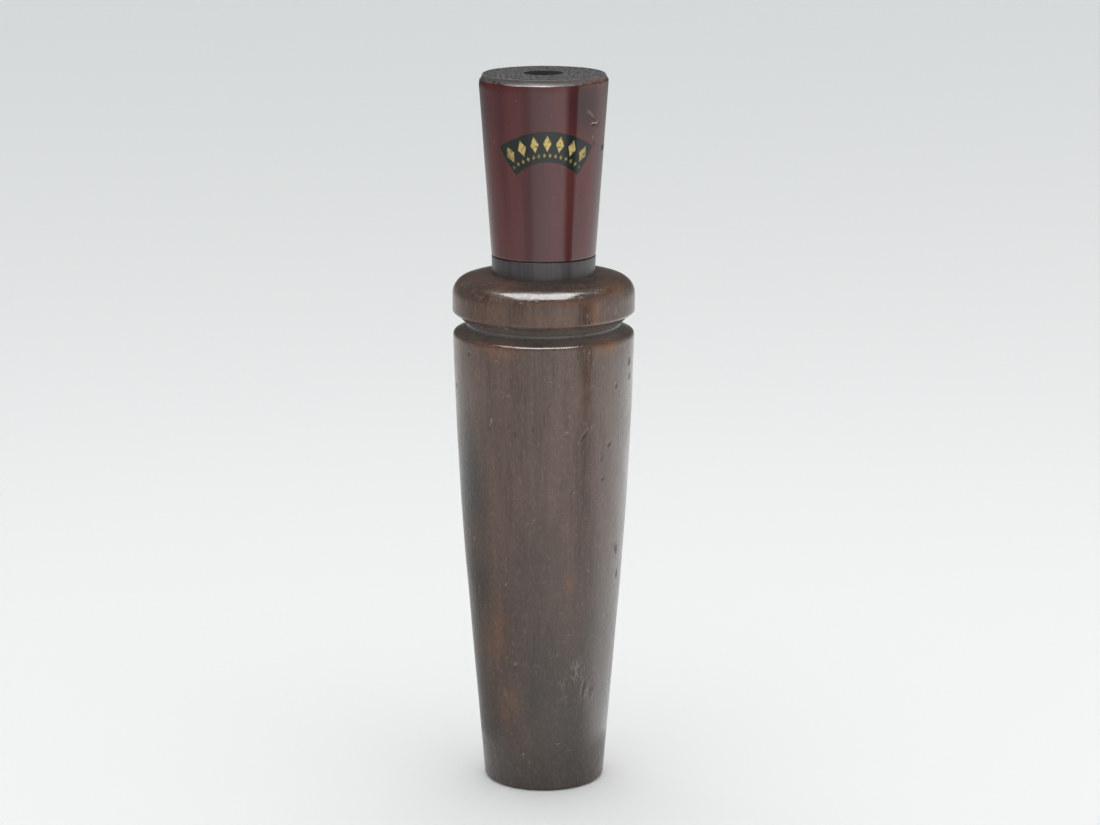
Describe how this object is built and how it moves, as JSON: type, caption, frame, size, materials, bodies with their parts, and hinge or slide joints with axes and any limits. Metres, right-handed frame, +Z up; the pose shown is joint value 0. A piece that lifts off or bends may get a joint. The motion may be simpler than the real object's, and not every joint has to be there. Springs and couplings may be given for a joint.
{
  "type": "duck call",
  "caption": "Turned wooden duck call: a tapered barrel with a lanyard groove and a pull-out stopper that holds the tone board, reed and wedge.",
  "frame": {"origin": "centre of the mouthpiece end, on the surface that the call stands on", "axes": "+Z up the call's axis to the exhaust end; -Y is the front, the side of the label and the side that the reed faces; +X completes a right-handed set"},
  "size_m": [0.0364, 0.0364, 0.1451],
  "materials": {
    "barrel_wood": "dark walnut under a worn gloss lacquer",
    "stopper_wood": "oxblood lacquer on the cone, bare dark wood on the tenon and the top",
    "board_wood": "bare red cedar, sanded",
    "reed": "milky plastic strip, satin",
    "cork": "bare cork, cut faces",
    "label_transfer": "dark transfer with a row of plain gold lozenges above a row of small ones, no lettering"
  },
  "bodies": {
    "barrel": {"barrel": "barrel_wood"},
    "stopper": {"stopper": "stopper_wood", "tone_board": "board_wood", "reed_heel": "reed", "wedge": "cork", "label": "label_transfer"},
    "reed": {"reed_tongue": "reed"}
  },
  "joints": [
    {"name": "stopper_pull", "type": "slide", "parent": "barrel", "child": "stopper", "axis": [0, 0, 1], "range_m": [0, 0.065]},
    {"name": "reed_flex", "type": "hinge", "parent": "stopper", "child": "reed", "pos_m": [0, -0.00102, 0.08255], "axis": [1, 0, 0], "range_deg": [-3, 1.2], "stiffness_Nm_per_rad": 0.008}
  ]
}
